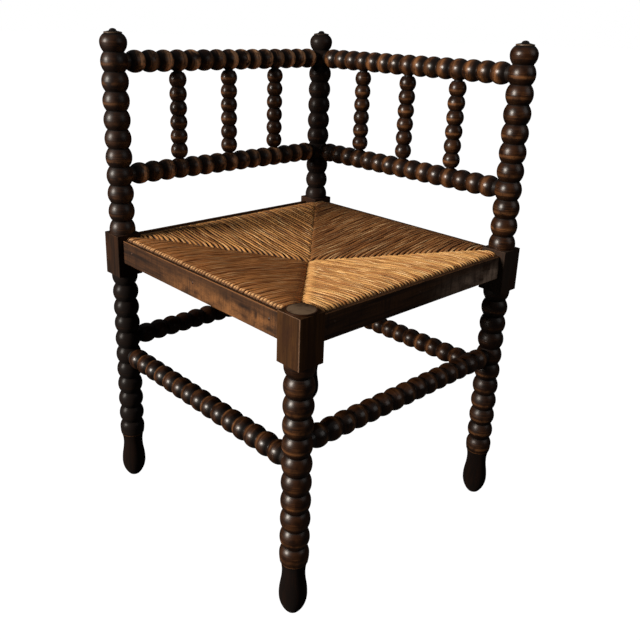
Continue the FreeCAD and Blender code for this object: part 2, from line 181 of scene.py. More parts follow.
class Shelf:
    """The nodes of one finish or effect. Each call puts a node on the shelf and gives back it or what it puts out."""

    def __init__(self, tree):
        self.tree = tree

    def link(self, output, socket):
        self.tree.links.new(output, socket)

    def add(self, kind, settings=None, **inputs):
        """An input is named with _ for each space, or by its number, as i0 or i1. It is a value or an output."""
        node = self.tree.nodes.new("ShaderNode" + kind)
        for name, value in (settings or {}).items():
            setattr(node, name, value)
        for name, value in inputs.items():
            key = int(name[1:]) if name[0] == "i" and name[1:].isdigit() else name.replace("_", " ")
            if isinstance(value, bpy.types.NodeSocket):
                self.link(value, node.inputs[key])
            else:
                node.inputs[key].default_value = value
        return node

    def placed(self, group, **inputs):
        return self.add("Group", {"node_tree": group}, **inputs).outputs

    def maths(self, operation, first, second=0.0):
        return self.add("Math", {"operation": operation}, i0=first, i1=second).outputs["Value"]

    def times(self, first, second):
        return self.maths("MULTIPLY", first, second)

    def vector(self, operation, first, second=(0.0, 0.0, 0.0)):
        node = self.add("VectorMath", {"operation": operation}, i0=first, i1=second)
        return node.outputs["Value" if operation in ("DOT_PRODUCT", "LENGTH") else "Vector"]

    def scaled(self, vector, amount):
        return self.add("VectorMath", {"operation": "SCALE"}, i0=vector, Scale=amount).outputs["Vector"]

    def between(self, value, low, high):
        """0 below low, 1 above high and smooth between, or the other way up where high is the lower of the two."""
        settings = {"interpolation_type": "SMOOTHSTEP"}
        return self.add("MapRange", settings, Value=value, From_Min=low, From_Max=high).outputs["Result"]

    def faded(self, value, edge, fade):
        start, full = fade
        return self.between(value, edge + start, edge + full)

    def mixed(self, mask, first, second, strength=None, kind="RGBA"):
        """first where mask is 0 and second where it is 1, or only as far towards second as strength says."""
        share = mask if strength is None else self.times(mask, strength)
        return self.add("Mix", {"data_type": kind}, Factor=share, A=first, B=second).outputs["Result"]

    def chance(self, number):
        return self.add("TexWhiteNoise", {"noise_dimensions": "1D"}, W=number).outputs["Value"]

    def noise(self, place, scale, detail=2.0, roughness=0.5):
        node = self.add("TexNoise", None, Vector=place, Scale=scale, Detail=detail, Roughness=roughness)
        return node.outputs["Fac"]

    def drawn_noise(self, place, scales, detail, roughness=0.6):
        """Noise with a scale for each axis: it is drawn out along the one whose scale is low."""
        return self.noise(self.vector("MULTIPLY", place, scales), 1.0, detail, roughness)

    def grain(self, along, across, seed, along_scale, across_scale, detail, roughness=0.6):
        """Noise with one scale along a piece and another across it, from a place's two parts along and across."""
        place = self.vector("ADD", self.scaled(along, along_scale), self.scaled(across, across_scale))
        seeded = self.add("CombineXYZ", None, X=seed, Y=seed, Z=seed).outputs["Vector"]
        return self.noise(self.vector("ADD", place, seeded), 1.0, detail, roughness)


def effect_group(name, inputs, outputs):
    """A shader node group with its shelf and its sockets: a dictionary of name and kind for each direction."""
    group = bpy.data.node_groups.new(name, "ShaderNodeTree")
    for direction, sockets in (("INPUT", inputs), ("OUTPUT", outputs)):
        for socket, kind in sockets.items():
            group.interface.new_socket(name=socket, in_out=direction, socket_type="NodeSocket" + kind)
    given = group.nodes.new("NodeGroupInput").outputs
    made = group.nodes.new("NodeGroupOutput").inputs
    return group, Shelf(group), given, made


# What the lathe leaves round an axis, with a mask of painted shade. Ball is the number of balls from the first one,
# and every ball has a worn line, whose place and width are shares of a ball. Crown, Groove and Lines are masks, and
# so is the painted shade over the first part of each ball along the axis, its bottom on a post; the others are noise.
line_stray = 0.12
line_fray = 0.10
lathe_marks, shelf, given, made = effect_group(
    "lathe_marks",
    {"Place": "Vector", "Axis": "Vector", "Ball Radius": "Float", "Groove Radius": "Float", "Seed": "Float",
     "Ball": "Float", "Line Place": "Float", "Line Width": "Float"},
    {"Crown": "Float", "Groove": "Float", "Shaded Flank": "Float", "Rings": "Float", "Patches": "Float", "Pores": "Float",
     "Lines": "Float"},
)
along = shelf.scaled(given["Axis"], shelf.vector("DOT_PRODUCT", given["Place"], given["Axis"]))
across = shelf.vector("SUBTRACT", given["Place"], along)
height = shelf.maths("SUBTRACT", shelf.vector("LENGTH", across), given["Groove Radius"])
height = shelf.maths("DIVIDE", height, shelf.maths("SUBTRACT", given["Ball Radius"], given["Groove Radius"]))
seed = given["Seed"]
patches = shelf.grain(along, across, seed, along_scale=60.0, across_scale=60.0, detail=3.0, roughness=0.55)
rings = shelf.grain(along, across, seed, along_scale=620.0, across_scale=26.0, detail=3.0)
pores = shelf.grain(along, across, seed, along_scale=42.0, across_scale=900.0, detail=2.0)
ball_number = shelf.maths("FLOOR", given["Ball"])
ball_share = shelf.maths("FRACT", given["Ball"])
place_chance = shelf.chance(shelf.maths("ADD", ball_number, seed))
strength_chance = shelf.chance(shelf.maths("ADD", ball_number, shelf.times(seed, 1.37)))
line_place = shelf.times(shelf.maths("SUBTRACT", place_chance, 0.5), line_stray)
line_place = shelf.maths("ADD", given["Line Place"], line_place)
from_line = shelf.maths("ABSOLUTE", shelf.maths("SUBTRACT", ball_share, line_place))
from_line = shelf.maths("ADD", from_line, shelf.times(shelf.maths("SUBTRACT", rings, 0.5), line_fray))
lines = shelf.add(
    "MapRange", {"interpolation_type": "SMOOTHSTEP"}, Value=from_line, From_Min=0.0, From_Max=given["Line Width"],
    To_Min=1.0, To_Max=0.0
).outputs["Result"]
lines = shelf.times(lines, shelf.between(patches, 0.32, 0.58))
lines = shelf.times(lines, shelf.between(strength_chance, -0.25, 0.7))
lines = shelf.times(lines, shelf.between(rings, 0.26, 0.56))
for socket, value in (
    ("Crown", shelf.between(height, 0.50, 1.0)),
    ("Groove", shelf.between(height, 0.34, 0.0)),
    # painted shade over the first part of each ball along the axis
    ("Shaded Flank", shelf.between(ball_share, 0.44, 0.08)),
    ("Rings", rings),
    ("Patches", patches),
    ("Pores", pores),
    ("Lines", lines),
):
    shelf.link(value, made[socket])

# What the saw and the plane leave on flat oak: streaks, pores and patches drawn out along the grain.
sawn_grain, shelf, given, made = effect_group(
    "sawn_grain",
    {"Place": "Vector", "Grain": "Vector", "Seed": "Float"},
    {"Streaks": "Float", "Pores": "Float", "Patches": "Float"},
)
along = shelf.scaled(given["Grain"], shelf.vector("DOT_PRODUCT", given["Place"], given["Grain"]))
across = shelf.vector("SUBTRACT", given["Place"], along)
for socket, along_scale, across_scale, detail in (
    ("Streaks", 9.0, 210.0, 4.0), ("Pores", 70.0, 1300.0, 2.0), ("Patches", 22.0, 40.0, 4.0)
):
    shelf.link(shelf.grain(along, across, given["Seed"], along_scale, across_scale, detail), made[socket])


def new_finish(name):
    """An empty material, with its shelf, its Principled shader's inputs and its Object coordinates."""
    finish = bpy.data.materials.new(name)
    finish.use_nodes = True
    shelf = Shelf(finish.node_tree)
    surface = finish.node_tree.nodes["Principled BSDF"].inputs
    place = shelf.add("TexCoord").outputs["Object"]
    return finish, shelf, surface, place


def lay_on(shelf, surface, colour, roughness, relief, bump, depth):
    """Puts colour, roughness and relief on a surface. bump is how strong the relief is, and depth how deep."""
    bumped = shelf.add("Bump", None, Strength=bump, Distance=depth, Height=relief)
    shelf.link(colour, surface["Base Color"])
    shelf.link(roughness, surface["Roughness"])
    shelf.link(bumped.outputs["Normal"], surface["Normal"])


def dress(node, finish):
    """Puts a finish on a CAD node in place of the one it came with."""
    nodes[node].material_slots[0].material = finish


def turned_colours(shelf, marks, wear, painted_flank_shade, worn):
    """Colour, roughness and relief of a turned surface, from its lathe marks.

    wear is how far handling has brought it to the colour worn, and flank how far the first part of each ball,
    its bottom on a post, is painted near black as shade."""
    body = shelf.mixed(shelf.between(marks["Patches"], 0.36, 0.66), stain_dark, stain_brown)
    ringed = shelf.mixed(shelf.between(marks["Rings"], 0.46, 0.74), body, stain_brown)
    # Painted shade: the first part of each ball, its bottom on a post, goes towards near black.
    ringed = shelf.mixed(marks["Shaded Flank"], ringed, deep_stain_and_shade, strength=painted_flank_shade)
    thin = shelf.times(marks["Crown"], shelf.between(marks["Rings"], 0.52, 0.62))
    thin = shelf.times(thin, shelf.between(marks["Patches"], 0.38, 0.60))
    thin = shelf.maths("MAXIMUM", shelf.times(thin, 0.24), marks["Lines"])
    rubbed = shelf.mixed(thin, ringed, worn, strength=wear)
    pores = shelf.between(marks["Pores"], 0.60, 0.74)
    pored = shelf.mixed(pores, rubbed, deep_stain_and_shade, strength=0.45)
    colour = shelf.mixed(marks["Groove"], pored, deep_stain_and_shade, strength=0.85)
    dulled = shelf.maths("ADD", shelf.times(marks["Patches"], 0.20), shelf.times(marks["Groove"], 0.25))
    roughness = shelf.maths("ADD", dulled, 0.30)
    relief = shelf.maths("SUBTRACT", shelf.times(marks["Rings"], 0.6), shelf.times(pores, 0.5))
    return colour, roughness, relief


def post_oak(name, corner_x, corner_y, wear, leg_dark, upper_dark, block_brown, block_golden, arris_wear, seed):
    """The finish of one post: turned above and below, planed oak from block_brown to block_golden on the block.

    leg_dark and upper_dark are how far the stain below and above the block goes to black."""
    finish, shelf, surface, place = new_finish(name)
    centred = shelf.vector("SUBTRACT", place, (corner_x, corner_y, 0.0))
    parts = shelf.add("SeparateXYZ", None, Vector=centred).outputs
    up = parts["Z"]
    is_upper = shelf.maths("GREATER_THAN", up, block_bottom)
    leg_ball = shelf.maths("DIVIDE", shelf.maths("SUBTRACT", up, leg_first), leg_step)
    upper_ball = shelf.maths("DIVIDE", shelf.maths("SUBTRACT", up, upper_first), upper_step)
    marks = dict(shelf.placed(
        lathe_marks, Place=centred, Axis=(0, 0, 1), Ball_Radius=post_ball, Groove_Radius=post_groove, Seed=seed,
        Ball=shelf.mixed(is_upper, leg_ball, upper_ball, kind="FLOAT"), Line_Place=0.40, Line_Width=0.13
    ).items())
    lined = shelf.times(shelf.maths("GREATER_THAN", up, upper_first), shelf.maths("LESS_THAN", up, finial_bottom))
    lined = shelf.maths("MAXIMUM", lined, shelf.maths("LESS_THAN", up, leg_last))
    marks["Lines"] = shelf.times(marks["Lines"], lined)
    turned, turned_roughness, turned_relief = turned_colours(shelf, marks, wear, painted_flank_shade=0.75, worn=stain_worn)
    # Painted highlight: the rim of each finial's top disc goes most of the way to the cap's grey.
    disc_rim_highlight = shelf.times(shelf.faded(up, disc_bottom, disc_bottom_fade), shelf.faded(up, disc_top, disc_top_fade))
    turned = shelf.mixed(disc_rim_highlight, turned, cap_grey, strength=0.6)
    dark = shelf.mixed(is_upper, leg_dark, upper_dark, kind="FLOAT")
    turned = shelf.mixed(dark, turned, deep_stain_and_shade)

    foot = shelf.faded(up, foot_ring_z, foot_fade)
    foot_grain = shelf.placed(sawn_grain, Place=centred, Grain=(0, 0, 1), Seed=seed)
    foot_wood = shelf.mixed(shelf.between(foot_grain["Streaks"], 0.35, 0.7), deep_stain_and_shade, foot_red)
    turned = shelf.mixed(foot, turned, foot_wood)
    from_ring = shelf.maths("ABSOLUTE", shelf.maths("SUBTRACT", up, foot_ring_z))
    turned = shelf.mixed(shelf.faded(from_ring, 0.0, ring_fade), turned, stain_worn, strength=0.6)

    block = shelf.faded(up, block_bottom, block_bottom_fade)
    block = shelf.times(block, shelf.faded(up, block_top, block_top_fade))
    grain = shelf.placed(sawn_grain, Place=centred, Grain=(0, 0, 1), Seed=seed + 3.0)
    planed = shelf.mixed(shelf.between(grain["Streaks"], 0.36, 0.66), block_brown, block_golden)
    planed = shelf.mixed(shelf.between(grain["Patches"], 0.50, 0.72), planed, stain_brown)
    planed = shelf.mixed(shelf.between(grain["Pores"], 0.58, 0.72), planed, stain_dark, strength=0.7)
    outward = shelf.vector("DOT_PRODUCT", centred, (math.copysign(1, corner_x), math.copysign(1, corner_y), 0.0))
    arris = shelf.faded(outward, 2 * block_half, arris_fade)
    rim = shelf.times(shelf.faded(up, block_top, rim_fade), shelf.faded(parts["X"], -block_half, face_fade))
    edge = shelf.times(shelf.maths("MAXIMUM", arris, rim), arris_wear)
    planed = shelf.mixed(edge, planed, arris_pale, strength=shelf.between(grain["Patches"], 0.26, 0.46))
    colour = shelf.mixed(block, turned, planed)

    # The front post ends at the block, in a low cap worn grey.
    if corner_x < 0 and corner_y < 0:
        from_axis = shelf.vector("LENGTH", shelf.vector("MULTIPLY", centred, (1, 1, 0)))
        cap_wood = shelf.mixed(shelf.between(grain["Patches"], 0.40, 0.75), cap_grey, block_brown)
        cap_wood = shelf.mixed(shelf.faded(from_axis, cap_rim, cap_fade), cap_wood, stain_brown)
        colour = shelf.mixed(shelf.maths("GREATER_THAN", up, block_top + cap_gap), colour, cap_wood)

    planed_roughness = shelf.maths("ADD", shelf.times(grain["Patches"], 0.2), 0.72)
    turned_roughness = shelf.maths("SUBTRACT", turned_roughness, 0.07)
    turned_roughness = shelf.maths("ADD", turned_roughness, shelf.times(foot, 0.9))
    turned_roughness = shelf.maths("ADD", turned_roughness, shelf.times(dark, 0.60))
    roughness = shelf.mixed(block, turned_roughness, planed_roughness, kind="FLOAT")
    relief = shelf.mixed(block, turned_relief, grain["Pores"], kind="FLOAT")
    lay_on(shelf, surface, colour, roughness, relief, bump=0.25, depth=0.0004)
    waxed = shelf.times(shelf.faded(up, foot_ring_z, wax_fade), shelf.maths("SUBTRACT", 1.0, block))
    waxed = shelf.times(waxed, shelf.maths("SUBTRACT", 1.0, shelf.times(dark, 0.65)))
    shelf.link(shelf.times(waxed, 0.42), surface["Coat Weight"])
    surface["Coat Roughness"].default_value = 0.34
    surface["Specular IOR Level"].default_value = 0.16
    return finish


for corner, corner_x, corner_y, look in (
    ("front", -1, -1, dict(wear=0.60, leg_dark=0.05, upper_dark=0.0, arris_wear=0.38, seed=11.0,
                           block_brown=(0.030, 0.0110, 0.0024, 1.0), block_golden=(0.062, 0.0240, 0.0056, 1.0))),
    ("left", -1, 1, dict(wear=0.60, leg_dark=0.92, upper_dark=0.30, arris_wear=0.08, seed=23.0,
                         block_brown=(0.011, 0.0040, 0.0014, 1.0), block_golden=(0.025, 0.0098, 0.0036, 1.0))),
    # The right post's block colours are greyed to paint a cool sheen onto its faces.
    ("right", 1, -1, dict(wear=0.80, leg_dark=0.30, upper_dark=0.0, arris_wear=0.12, seed=37.0,
                          block_brown=(0.024, 0.0150, 0.0105, 1.0), block_golden=(0.034, 0.0190, 0.0125, 1.0))),
    ("back", 1, 1, dict(wear=0.45, leg_dark=0.60, upper_dark=0.75, arris_wear=0.08, seed=41.0,
                        block_brown=(0.014, 0.0052, 0.0022, 1.0), block_golden=(0.030, 0.0120, 0.0050, 1.0))),
):
    dress(corner + "_post", post_oak(corner + "_post_oak", corner_x * post_offset, corner_y * post_offset, **look))


# Back rails: fifteen balls turned on each, with a round tenon at both ends glued into the posts' balls. Hands
# have worn the two on the left most, down to bare golden wood in a band round each ball.
rail_balls = dict(first_groove=-0.1930, ball_step=0.025733, ball_radius=0.0173, groove_radius=0.0124)
top_rail_z = 0.71698
lower_rail_z = 0.54328
rail_bare = (0.700, 0.370, 0.190, 1.0)


def turned_oak(name, axis_point, axis, first_groove, ball_step, ball_radius, groove_radius, wear, line, painted_flank_shade, wax,
               seed, worn=stain_worn):
    """The finish of a rail, stretcher or spindle that was turned round one axis.

    first_groove is where its first ball starts along the axis, and line the place and width of each ball's worn
    line, as shares of the ball step. wax is the strength of the gloss, and wear, flank and worn are as for
    turned_colours."""
    finish, shelf, surface, place = new_finish(name)
    centred = shelf.vector("SUBTRACT", place, axis_point)
    along = shelf.vector("DOT_PRODUCT", centred, axis)
    ball = shelf.maths("DIVIDE", shelf.maths("SUBTRACT", along, first_groove), ball_step)
    marks = shelf.placed(
        lathe_marks, Place=centred, Axis=axis, Ball_Radius=ball_radius, Groove_Radius=groove_radius, Seed=seed,
        Ball=ball, Line_Place=line[0], Line_Width=line[1]
    )
    colour, roughness, relief = turned_colours(shelf, marks, wear, painted_flank_shade, worn)
    lay_on(shelf, surface, colour, roughness, relief, bump=0.3, depth=0.0004)
    surface["Specular IOR Level"].default_value = 0.2
    surface["Coat Weight"].default_value = wax
    surface["Coat Roughness"].default_value = 0.24
    return finish


for rail, axis_point, axis, look in (
    ("top_rail_left", (0, post_offset, top_rail_z), (1, 0, 0),
     dict(wear=1.5, line=(0.62, 0.36), painted_flank_shade=0.8, wax=0.10, seed=3.0, worn=rail_bare)),
    ("top_rail_right", (post_offset, 0, top_rail_z), (0, 1, 0),
     dict(wear=0.9, line=(0.53, 0.32), painted_flank_shade=0.9, wax=0.40, seed=5.0)),
    ("lower_rail_left", (0, post_offset, lower_rail_z), (1, 0, 0),
     dict(wear=0.8, line=(0.56, 0.36), painted_flank_shade=0.5, wax=0.10, seed=7.0, worn=rail_bare)),
    ("lower_rail_right", (post_offset, 0, lower_rail_z), (0, 1, 0),
     dict(wear=0.6, line=(0.53, 0.30), painted_flank_shade=0.8, wax=0.40, seed=9.0)),
):
    dress(rail, turned_oak(rail + "_oak", axis_point, axis, **rail_balls, **look))


# Spindles: three under each top rail, six small balls each, tenoned into balls four, eight and twelve of both
# rails.
spindle_balls = dict(first_groove=0.56138, ball_step=0.022917, ball_radius=0.0141, groove_radius=0.0093)
spindle_apart = 0.10293
for number in (1, 2, 3):
    reach = (2 - number) * spindle_apart
    for side, axis_point, seed in (
        ("left", (reach, post_offset, 0), 50.0), ("right", (post_offset, -reach, 0), 60.0)
    ):
        spindle = "spindle_%s_%d" % (side, number)
        dress(spindle, turned_oak(spindle + "_oak", axis_point, (0, 0, 1), **spindle_balls, wear=0.8,
                                  line=(0.46, 0.16), painted_flank_shade=0.5, wax=0.30, seed=seed + number))


# Stretchers: fifteen balls each between the legs. Shoes have worn the front left one round every ball, and two
# of the four stand one leg ball lower than the others.
stretcher_balls = dict(first_groove=-0.1929, ball_step=0.02572, ball_radius=0.0167, groove_radius=0.0120)
upper_stretcher_z = 0.26405
lower_stretcher_z = 0.23575
for side, axis_point, axis, look in (
    ("front_left", (-post_offset, 0, lower_stretcher_z), (0, 1, 0),
     dict(wear=0.65, line=(0.70, 0.15), painted_flank_shade=1.0, wax=0.30, seed=71.0)),
    ("front_right", (0, -post_offset, upper_stretcher_z), (1, 0, 0),
     dict(wear=0.6, line=(0.56, 0.22), painted_flank_shade=0.0, wax=0.50, seed=73.0)),
    ("back_left", (0, post_offset, upper_stretcher_z), (1, 0, 0),
     dict(wear=0.15, line=(0.5, 0.10), painted_flank_shade=0.0, wax=0.10, seed=75.0)),
    ("back_right", (post_offset, 0, lower_stretcher_z), (0, 1, 0),
     dict(wear=0.7, line=(0.62, 0.20), painted_flank_shade=0.6, wax=0.20, seed=77.0)),
):
    stretcher = "stretcher_" + side
    dress(stretcher, turned_oak(stretcher + "_oak", axis_point, axis, **stretcher_balls, **look))


# Seat rails and edging strips: sawn oak. The rails are plain and the rush hides them. The strips are thin
# stained boards nailed on over the rush, dry and scuffed, with a pale worn line along their top edge.
strip_top = 0.4425
strip_bottom = 0.405
strip_edge = 0.0016
scuff_width = 0.0035
scuff_height = 0.009
gold_top = 0.004
gold_bottom = 0.012
shaded_top_face_fade = (-0.0003, -0.0001)
rail_pale = (0.30, 0.17, 0.08, 1.0)
rail_brown = (0.16, 0.085, 0.04, 1.0)
strip_dark = (0.0150, 0.0062, 0.0028, 1.0)
strip_brown = (0.0620, 0.0245, 0.0085, 1.0)
strip_golden = (0.2300, 0.0950, 0.0300, 1.0)
# A painted grey sheen, put in place of gold on the front right strip.
strip_painted_sheen = (0.4000, 0.2800, 0.2100, 1.0)


def sawn_oak(name, grain_axis, dark, brown, golden, golden_share, edge_wear, seed, bright=None, scuff=None):
    """The finish of a sawn board, from dark to brown, and golden in patches, most of all low down. On the front right
    strip that colour is a painted grey sheen.

    bright is where along the board that colour begins and where it is full, and scuff the place of a dark spot."""
    finish, shelf, surface, place = new_finish(name)
    grain = shelf.placed(sawn_grain, Place=place, Grain=grain_axis, Seed=seed)
    colour = shelf.mixed(shelf.between(grain["Streaks"], 0.34, 0.66), dark, brown)
    up = shelf.add("SeparateXYZ", None, Vector=place).outputs["Z"]
    low = shelf.between(up, strip_top - gold_top, strip_bottom + gold_bottom)
    gold = shelf.times(shelf.between(grain["Patches"], 0.30, 0.66), shelf.maths("ADD", low, 0.25))
    if bright:
        gold = shelf.times(gold, shelf.between(shelf.vector("DOT_PRODUCT", place, grain_axis), *bright))
    colour = shelf.mixed(gold, colour, golden, strength=golden_share)
    smudges = shelf.drawn_noise(place, (60.0, 60.0, 14.0), detail=4.0)
    colour = shelf.mixed(shelf.between(smudges, 0.50, 0.72), colour, dark, strength=0.55)
    speckles = shelf.noise(place, 620.0, detail=2.0, roughness=0.7)
    colour = shelf.mixed(shelf.between(speckles, 0.52, 0.70), colour, dark, strength=0.45)
    scratches = shelf.drawn_noise(place, (420.0, 420.0, 24.0), detail=3.0)
    colour = shelf.mixed(shelf.between(scratches, 0.48, 0.70), colour, dark, strength=0.5)
    if scuff:
        from_scuff = shelf.vector("SUBTRACT", place, scuff)
        from_scuff = shelf.vector("MULTIPLY", from_scuff, (0.0, 1.0 / scuff_width, 1.0 / scuff_height))
        from_scuff = shelf.vector("LENGTH", from_scuff)
        colour = shelf.mixed(shelf.between(from_scuff, 1.2, 0.3), colour, dark, strength=0.85)
    pores = shelf.between(grain["Pores"], 0.57, 0.72)
    colour = shelf.mixed(pores, colour, dark, strength=0.7)
    top_edge = shelf.between(up, strip_top - strip_edge, strip_top - 0.4 * strip_edge)
    bottom_edge = shelf.between(up, strip_bottom + 0.7 * strip_edge, strip_bottom + 0.2 * strip_edge)
    edges = shelf.times(shelf.maths("MAXIMUM", top_edge, bottom_edge), edge_wear)
    colour = shelf.mixed(edges, colour, strip_golden, strength=shelf.between(grain["Patches"], 0.28, 0.5))
    # Painted shade: the strip's top face is painted near black, as the dark line of shadow between strip and rush.
    colour = shelf.mixed(shelf.faded(up, strip_top, shaded_top_face_fade), colour, strip_dark, strength=0.85)
    roughness = shelf.maths("ADD", shelf.times(grain["Patches"], 0.3), 0.5)
    relief = shelf.maths("SUBTRACT", shelf.times(grain["Streaks"], 0.5), pores)
    lay_on(shelf, surface, colour, roughness, relief, bump=0.4, depth=0.0003)
    surface["Specular IOR Level"].default_value = 0.2
    return finish


for side, grain_axis, seed, look in (
    ("front_left", (0, 1, 0), 81.0,
     dict(golden=strip_golden, golden_share=0.80, bright=(0.13, -0.02), scuff=(0.0, -0.142, 0.424))),
    # The front right strip's lighter colour is a painted grey sheen, growing towards the board's right end.
    ("front_right", (1, 0, 0), 83.0, dict(golden=strip_painted_sheen, golden_share=0.9, bright=(-0.02, 0.19))),
    ("back_left", (1, 0, 0), 85.0, dict(golden=strip_golden, golden_share=0.2)),
    ("back_right", (0, 1, 0), 87.0, dict(golden=strip_golden, golden_share=0.2)),
):
    dress("seat_rail_" + side, sawn_oak("seat_rail_" + side + "_oak", grain_axis, rail_brown, rail_pale, rail_pale,
                                        golden_share=0.5, edge_wear=0.0, seed=seed + 10.0))
    dress("edging_strip_" + side, sawn_oak("edging_strip_" + side + "_oak", grain_axis, strip_dark, strip_brown,
                                           edge_wear=0.8, seed=seed, **look))


# Strip nails: small wire nails driven through the strips into the seat rails, their heads gone brown with rust.
rust_dark = (0.02, 0.013, 0.010, 1.0)
rust_brown = (0.09, 0.035, 0.015, 1.0)
finish, shelf, surface, place = new_finish("rusty_iron")
rust = shelf.noise(place, 900.0, detail=3.0)
shelf.link(shelf.mixed(shelf.between(rust, 0.35, 0.65), rust_dark, rust_brown), surface["Base Color"])
shelf.link(shelf.between(rust, -0.3, 1.2), surface["Roughness"])
surface["Metallic"].default_value = 0.6
dress("strip_nails", finish)


# Rush seat: sixty-two twisted strands a side, each wound over the seat rail, across the top to the diagonal and
# back underneath, round a packing of broken rush. Strands dive where the sides meet, which cuts four valleys.
# Sizes named rush are those of the seat's skin, and out is always measured from the line of the posts' axes.
seat_half = post_offset
rush_outer = 0.0066
rush_middle = 0.4160
rush_slope = 0.155
rush_heel = 0.4058
rush_middle_bottom = 0.3968
crown_start = -0.045
heel_radius = 0.008
heel_inset = 0.0014
strand_count = 62
strand_first = 0.0215
strand_high = 0.0027
under_step = 0.009
tuck_length = 0.012
tuck_rise = 0.006
over_step = 0.0034
lift_length = 0.03
hook_length = 0.0006
strand_ends = {
    "over": dict(past=0.0035, dive=0.0070, lift=0.0008, bend=0.016, hook=0.0045),
    "under": dict(past=-0.0010, dive=0.0060, lift=-0.0006, bend=0.020, hook=0.0045),
    "meet": dict(past=0.0012, dive=0.0022, lift=0.0, bend=0.010, hook=0.0035),
}
side_faces = {"front_right": (0, -1), "back_right": (1, 0), "back_left": (0, 1), "front_left": (-1, 0)}


def side_place(side, out, along, height):
    """The place of a point that is given by how far it is out from a side, along it from its middle, and up."""
    face_x, face_y = side_faces[side]
    from_centre = seat_half + out
    return Vector((face_x * from_centre - face_y * along, face_y * from_centre + face_x * along, height))


def top_height(out, crown_end):
    """Height of the strands' middle on top: a straight rise from the seat's centre that levels out to crown_end."""
    high = rush_middle + rush_slope * (seat_half + min(out, crown_start)) - strand_high
    over_crown = max(0.0, min(out, crown_end) - crown_start)
    return high + rush_slope * over_crown * (1.0 - 0.5 * over_crown / (crown_end - crown_start))


def bottom_height(out):
    """Height of the strands' middle underneath, where the seat bellies down towards its centre."""
    fall = max(0.0, (-out - heel_inset) / (seat_half - heel_inset))
    return rush_heel + strand_high - (rush_heel - rush_middle_bottom) * math.sin(fall * math.pi / 2.0)


def strand_route(reach, shoulder_radius, past, dive, lift, bend, hook):
    """Points (out, height) of one strand's middle, from its inner end underneath, round the rail, to its top end.

    reach is the distance from the post's axis, where the strand meets the diagonal. There over strands ride up on
    the next side's ends, under strands tuck beneath them, and meet strands butt against them. A strand goes on
    past the diagonal, is lifted before it, dives over the length of the bend, and hooks down at its tip."""
    crown_end = rush_outer - shoulder_radius
    shoulder_height = top_height(crown_end, crown_end) - (shoulder_radius - strand_high)
    points = []
    steps = max(2, int(reach / under_step))
    for step in range(steps + 1):
        out = -reach + (reach - heel_inset) * step / steps
        inward = max(0.0, 1.0 - (out + reach) / tuck_length)
        points.append((out, bottom_height(out) + tuck_rise * inward ** 2))
    turn_radius = heel_radius - strand_high
    heel_top = rush_heel + heel_radius
    for turn in (30, 60, 90):
        angle = math.radians(turn)
        out = rush_outer - heel_radius + turn_radius * math.sin(angle)
        points.append((out, heel_top - turn_radius * math.cos(angle)))
    for share in (0.25, 0.5, 0.75):
        points.append((rush_outer - strand_high, heel_top + (shoulder_height - heel_top) * share))
    turn_radius = shoulder_radius - strand_high
    for turn in (0, 12, 24, 36, 48, 60, 70, 80, 90):
        angle = math.radians(turn)
        out = crown_end + turn_radius * math.cos(angle)
        points.append((out, shoulder_height + turn_radius * math.sin(angle)))
    run_end = -reach - past
    length = crown_end - run_end
    steps = max(3, int(length / over_step))
    for step in range(1, steps + 1):
        out = crown_end - length * step / steps
        left = out - run_end
        lifted = lift * min(1.0, max(0.0, 1.0 - left / lift_length))
        dived = dive * max(0.0, 1.0 - left / bend) ** 2.2
        points.append((out, top_height(out, crown_end) + lifted - dived))
    points.append((run_end - hook_length, top_height(run_end, crown_end) + lift - dive - hook))
    return points


# Two rushes twisted together make a strand, so its section is lobed. It is swept along each strand's route.
section_points = 12
section_radius = strand_high * 1.10
curve = bpy.data.curves.new("strand_section", "CURVE")
curve.dimensions = "2D"
outline = curve.splines.new("POLY")
outline.points.add(section_points - 1)
for index, point in enumerate(outline.points):
    angle = 2.0 * math.pi * index / section_points
    radius = section_radius * (1.0 + 0.10 * math.cos(2.0 * angle) + 0.035 * math.cos(5.0 * angle + 0.7))
    point.co = (radius * math.cos(angle), radius * math.sin(angle), 0.0, 1.0)
outline.use_cyclic_u = True
section = bpy.data.objects.new("strand_section", curve)
scene.collection.objects.link(section)

sideways_wander = 0.0014
upward_wander = 0.0009
steady_start = 0.004
swelling = 0.10
swollen_length = 0.022
tip_taper = 0.55
pattern_radius = 0.0030
pattern_shift = 0.05


